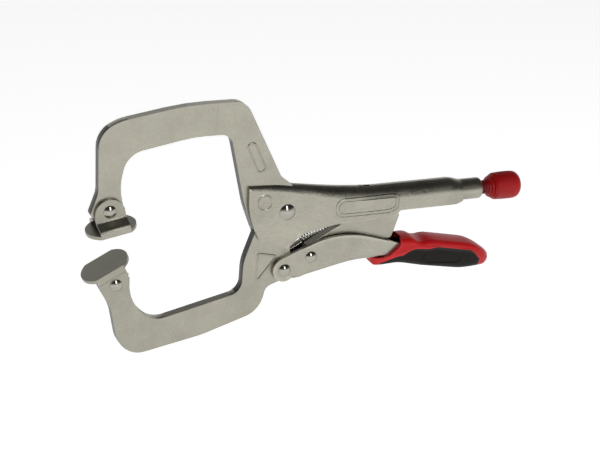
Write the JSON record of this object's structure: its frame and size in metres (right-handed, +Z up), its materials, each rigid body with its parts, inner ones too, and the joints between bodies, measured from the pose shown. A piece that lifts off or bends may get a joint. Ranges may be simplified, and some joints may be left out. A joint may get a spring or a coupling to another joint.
{
  "type": "locking pliers",
  "caption": "Locking C-clamp pliers: a deep pair of plate jaws with swivelling pads, a channel handle with an adjusting screw, and a toggle lever with a two-tone grip.",
  "frame": {"origin": "middle of the fixed jaw's pad face", "axes": "+X along the fixed handle towards the knob, Y along the pivots, +Z up from the pad face towards the fixed jaw"},
  "size_m": [0.2806, 0.0234, 0.1483],
  "materials": {
    "plated_sheet": "satin nickel plate over pressed sheet",
    "plated_plate": "satin nickel plate over blanked plate",
    "rivets": "bright domed heads",
    "plain_steel": "oiled steel",
    "red_grip": "smooth satin moulding",
    "black_grip": "fine matt soft moulding",
    "red_screw": "satin red coat"
  },
  "bodies": {
    "frame": {"handle_channel": "plated_sheet", "fixed_jaw": "plated_plate", "fixed_jaw_rivet": "plated_plate", "main_pivot_rivet": "rivets", "threaded_bush": "plain_steel", "return_spring": "plain_steel"},
    "upper_pad": {"fixed_pad": "plated_sheet", "fixed_pad_rivet": "rivets"},
    "lower_jaw": {"moving_jaw": "plated_plate", "spring_pin": "plain_steel", "lever_rivet": "rivets"},
    "lower_pad": {"moving_pad": "plated_sheet", "moving_pad_rivet": "rivets"},
    "lever": {"lever_channel": "plated_sheet", "link_rivet": "rivets", "grip_shell": "red_grip", "grip_insert": "black_grip"},
    "link": {"toggle_link": "plated_plate"},
    "screw": {"adjusting_screw": "red_screw"},
    "knob": {"screw_knob": "red_screw"}
  },
  "joints": [
    {"name": "upper_pad_swivel", "type": "hinge", "parent": "frame", "child": "upper_pad", "pos_m": [-0.00221, 0, 0.0123], "axis": [0, 1, 0], "range_deg": [-18, 18]},
    {"name": "jaw_hinge", "type": "hinge", "parent": "frame", "child": "lower_jaw", "pos_m": [0.10499, 0, 0.0014], "axis": [0, -1, 0], "range_deg": [0, 8]},
    {"name": "lower_pad_swivel", "type": "hinge", "parent": "lower_jaw", "child": "lower_pad", "pos_m": [0.00159, 0, -0.0327], "axis": [0, 1, 0], "range_deg": [-18, 18]},
    {"name": "lever_hinge", "type": "hinge", "parent": "lower_jaw", "child": "lever", "pos_m": [0.10509, 0, -0.0356], "axis": [0, 1, 0], "range_deg": [0, 44]},
    {"name": "link_hinge", "type": "hinge", "parent": "lever", "child": "link", "pos_m": [0.12139, 0, -0.0286], "axis": [0, -1, 0], "range_deg": [0, 47.5]},
    {"name": "screw_travel", "type": "slide", "parent": "frame", "child": "screw", "axis": [1, 0, 0], "range_m": [0, 0.024]},
    {"name": "knob_turn", "type": "hinge", "parent": "screw", "child": "knob", "pos_m": [0.24, 0, 0.0024], "axis": [1, 0, 0], "range_deg": [0, 5765]}
  ],
  "couplings": [
    {"joint": "jaw_hinge", "follows": "lever_hinge", "ratio": 0.1813},
    {"joint": "link_hinge", "follows": "lever_hinge", "ratio": 1.0769},
    {"joint": "knob_turn", "follows": "screw_travel", "rad_per_m": 4188.8}
  ]
}
